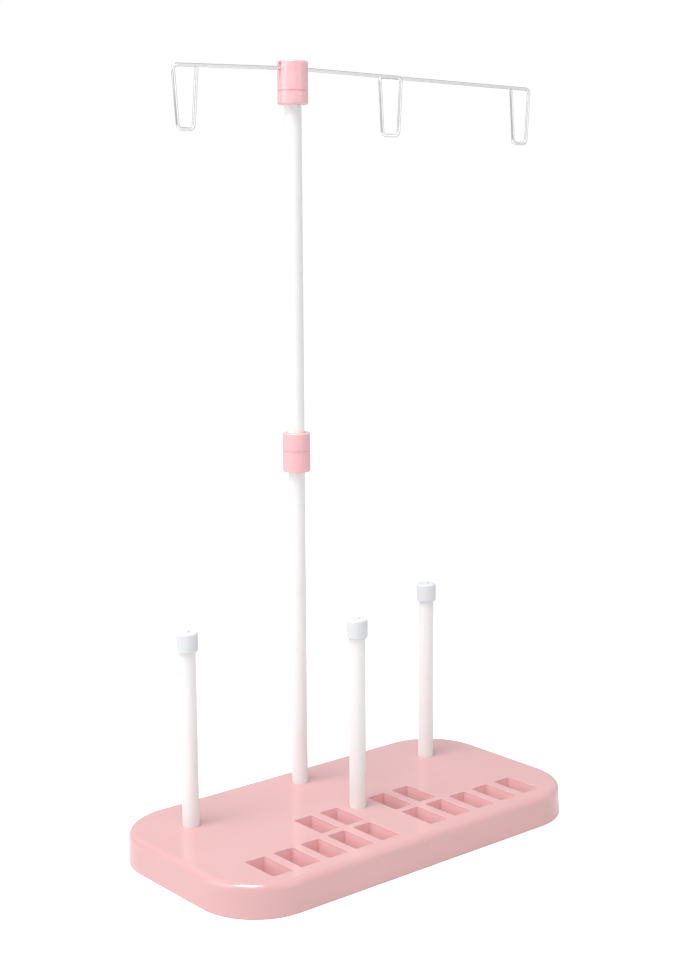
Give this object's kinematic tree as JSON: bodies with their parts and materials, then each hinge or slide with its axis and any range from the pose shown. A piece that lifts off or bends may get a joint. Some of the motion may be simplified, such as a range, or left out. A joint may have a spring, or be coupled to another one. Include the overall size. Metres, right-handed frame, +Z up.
{
  "type": "thread spool stand",
  "caption": "Desktop thread stand: flat base with rows of bobbin pockets, capped upright spool pins, and a two-part mast carrying a bent wire thread guide with hanging loops.",
  "frame": {"origin": "middle of the base's footprint, on the table", "axes": "+X along the base's length, -Y towards the front with the bobbin pockets, +Z up the mast"},
  "size_m": [0.2915, 0.1246, 0.4129],
  "materials": {
    "base_pink": "semi-gloss moulded polystyrene, pale pink",
    "fitting_pink": "gloss moulded plastic, pale pink",
    "tube_white": "extruded milky white plastic, satin",
    "cap_white": "soft cool white plastic, satin",
    "plated_wire": "bright plated spring wire"
  },
  "bodies": {
    "base": {"base_shell": "base_pink"},
    "lower_mast": {"lower_mast_tube": "tube_white", "mast_coupler": "fitting_pink"},
    "upper_mast": {"upper_mast_tube": "tube_white"},
    "guide_head": {"guide_holder": "fitting_pink"},
    "guide_wire": {"thread_guide_wire": "plated_wire"},
    "spool_pin_left": {"spool_pin_left": "tube_white"},
    "pin_cap_left": {"pin_cap_left": "cap_white"},
    "spool_pin_centre": {"spool_pin_centre": "tube_white"},
    "pin_cap_centre": {"pin_cap_centre": "cap_white"},
    "spool_pin_right": {"spool_pin_right": "tube_white"},
    "pin_cap_right": {"pin_cap_right": "cap_white"}
  },
  "joints": [
    {"name": "lower_mast_lift", "type": "slide", "parent": "base", "child": "lower_mast", "axis": [0, 0, 1], "range_m": [0, 0.0145]},
    {"name": "upper_mast_lift", "type": "slide", "parent": "lower_mast", "child": "upper_mast", "axis": [0, 0, 1], "range_m": [0, 0.012]},
    {"name": "guide_swivel", "type": "hinge", "parent": "upper_mast", "child": "guide_head", "pos_m": [-0.0013, 0.0437, 0.3907], "axis": [0, 0, 1], "continuous": true},
    {"name": "guide_wire_lift", "type": "slide", "parent": "guide_head", "child": "guide_wire", "axis": [0, 0, 1], "range_m": [0, 0.007]},
    {"name": "spool_pin_left_lift", "type": "slide", "parent": "base", "child": "spool_pin_left", "axis": [0, 0, 1], "range_m": [0, 0.015]},
    {"name": "pin_cap_left_lift", "type": "slide", "parent": "spool_pin_left", "child": "pin_cap_left", "axis": [0, 0, 1], "range_m": [0, 0.011]},
    {"name": "spool_pin_centre_lift", "type": "slide", "parent": "base", "child": "spool_pin_centre", "axis": [0, 0, 1], "range_m": [0, 0.015]},
    {"name": "pin_cap_centre_lift", "type": "slide", "parent": "spool_pin_centre", "child": "pin_cap_centre", "axis": [0, 0, 1], "range_m": [0, 0.011]},
    {"name": "spool_pin_right_lift", "type": "slide", "parent": "base", "child": "spool_pin_right", "axis": [0, 0, 1], "range_m": [0, 0.015]},
    {"name": "pin_cap_right_lift", "type": "slide", "parent": "spool_pin_right", "child": "pin_cap_right", "axis": [0, 0, 1], "range_m": [0, 0.011]}
  ]
}
